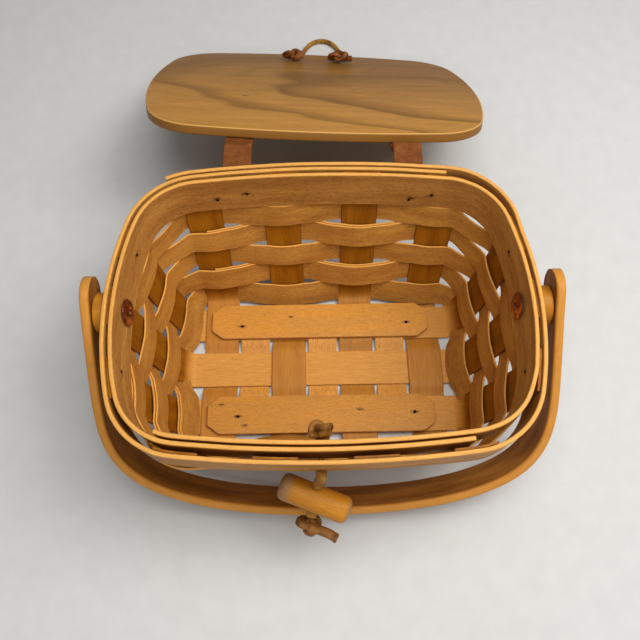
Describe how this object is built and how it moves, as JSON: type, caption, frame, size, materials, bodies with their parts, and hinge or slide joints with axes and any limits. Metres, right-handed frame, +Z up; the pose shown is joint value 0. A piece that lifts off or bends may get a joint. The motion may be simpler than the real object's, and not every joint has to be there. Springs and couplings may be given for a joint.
{
  "type": "lidded basket",
  "caption": "Small oblong woven splint basket with a board lid on leather straps, a bentwood swing handle on copper rivets and a dowel toggle closure.",
  "frame": {"origin": "centre of the underside of the base, on the surface that the basket stands on", "axes": "+X to the basket's right along its length, +Y towards the hinged rear side where the open lid lies, +Z up"},
  "size_m": [0.2244, 0.3556, 0.0918],
  "materials": {
    "upright_splint": "oiled maple splint, satin",
    "weaver_splint": "oiled maple splint, satin",
    "base_cap_wood": "pale maple strip, satin",
    "band_wood": "steamed maple band, satin",
    "handle_wood": "steamed hardwood, satin",
    "lid_wood": "flat-sawn maple board, satin",
    "dowel_wood": "turned hardwood dowel, satin",
    "strap_leather": "vegetable-tanned strap, worn",
    "lace_leather": "soft rawhide lace",
    "copper": "peened copper rivet and burr",
    "tack_steel": "darkened steel tack head"
  },
  "bodies": {
    "basket": {"upright_far_left": "upright_splint", "upright_left": "upright_splint", "upright_right": "upright_splint", "upright_far_right": "upright_splint", "upright_long_front": "upright_splint", "upright_long_middle": "upright_splint", "upright_long_rear": "upright_splint", "filler_left": "weaver_splint", "filler_middle": "weaver_splint", "filler_right": "weaver_splint", "base_cap_rear": "base_cap_wood", "base_cap_front": "base_cap_wood", "weaver_1": "weaver_splint", "weaver_2": "weaver_splint", "weaver_3": "weaver_splint", "weaver_4": "weaver_splint", "weaver_5": "weaver_splint", "inner_band": "band_wood", "outer_band": "band_wood", "washer_left": "handle_wood", "washer_right": "handle_wood", "rivet_left": "copper", "rivet_right": "copper", "strap_left": "strap_leather", "strap_right": "strap_leather", "strap_tack_1": "tack_steel", "strap_tack_2": "tack_steel", "strap_tack_3": "tack_steel", "strap_tack_4": "tack_steel", "band_tack_1": "tack_steel", "band_tack_2": "tack_steel", "band_tack_3": "tack_steel", "band_tack_4": "tack_steel", "band_tack_5": "tack_steel", "band_tack_6": "tack_steel", "band_tack_7": "tack_steel", "band_tack_8": "tack_steel", "cap_tack_1": "tack_steel", "cap_tack_2": "tack_steel", "cap_tack_3": "tack_steel", "cap_tack_4": "tack_steel", "toggle_inner_knot": "lace_leather", "toggle_lace_stub": "lace_leather"},
    "handle": {"handle": "handle_wood"},
    "lid": {"lid": "lid_wood", "lid_loop": "lace_leather", "lid_knot_left": "lace_leather", "lid_knot_right": "lace_leather", "lid_tack_1": "tack_steel", "lid_tack_2": "tack_steel", "lid_tack_3": "tack_steel", "lid_tack_4": "tack_steel"},
    "toggle": {"toggle_lace": "lace_leather", "toggle_knot": "lace_leather"},
    "dowel": {"toggle_dowel": "dowel_wood"}
  },
  "joints": [
    {"name": "handle_swing", "type": "hinge", "parent": "basket", "child": "handle", "pos_m": [0, 0, 0.0766], "axis": [-1, 0, 0], "range_deg": [0, 198], "deforming": ["toggle_lace", "toggle_knot"]},
    {"name": "lid_swing", "type": "hinge", "parent": "basket", "child": "lid", "pos_m": [0, 0.08848, 0.08981], "axis": [0.9995, 0, -0.0304], "range_deg": [0, 209.23], "deforming": ["strap_left", "strap_right"]},
    {"name": "toggle_swing", "type": "hinge", "parent": "basket", "child": "toggle", "pos_m": [-0.00199, -0.07478, 0.07], "axis": [-1, 0, 0], "range_deg": [0, 60], "deforming": ["toggle_lace"]},
    {"name": "toggle_turn", "type": "hinge", "parent": "toggle", "child": "dowel", "pos_m": [-0.00529, -0.08228, 0.05], "axis": [-0.1568, -0.4312, -0.8885], "range_deg": [-60, 20]}
  ]
}
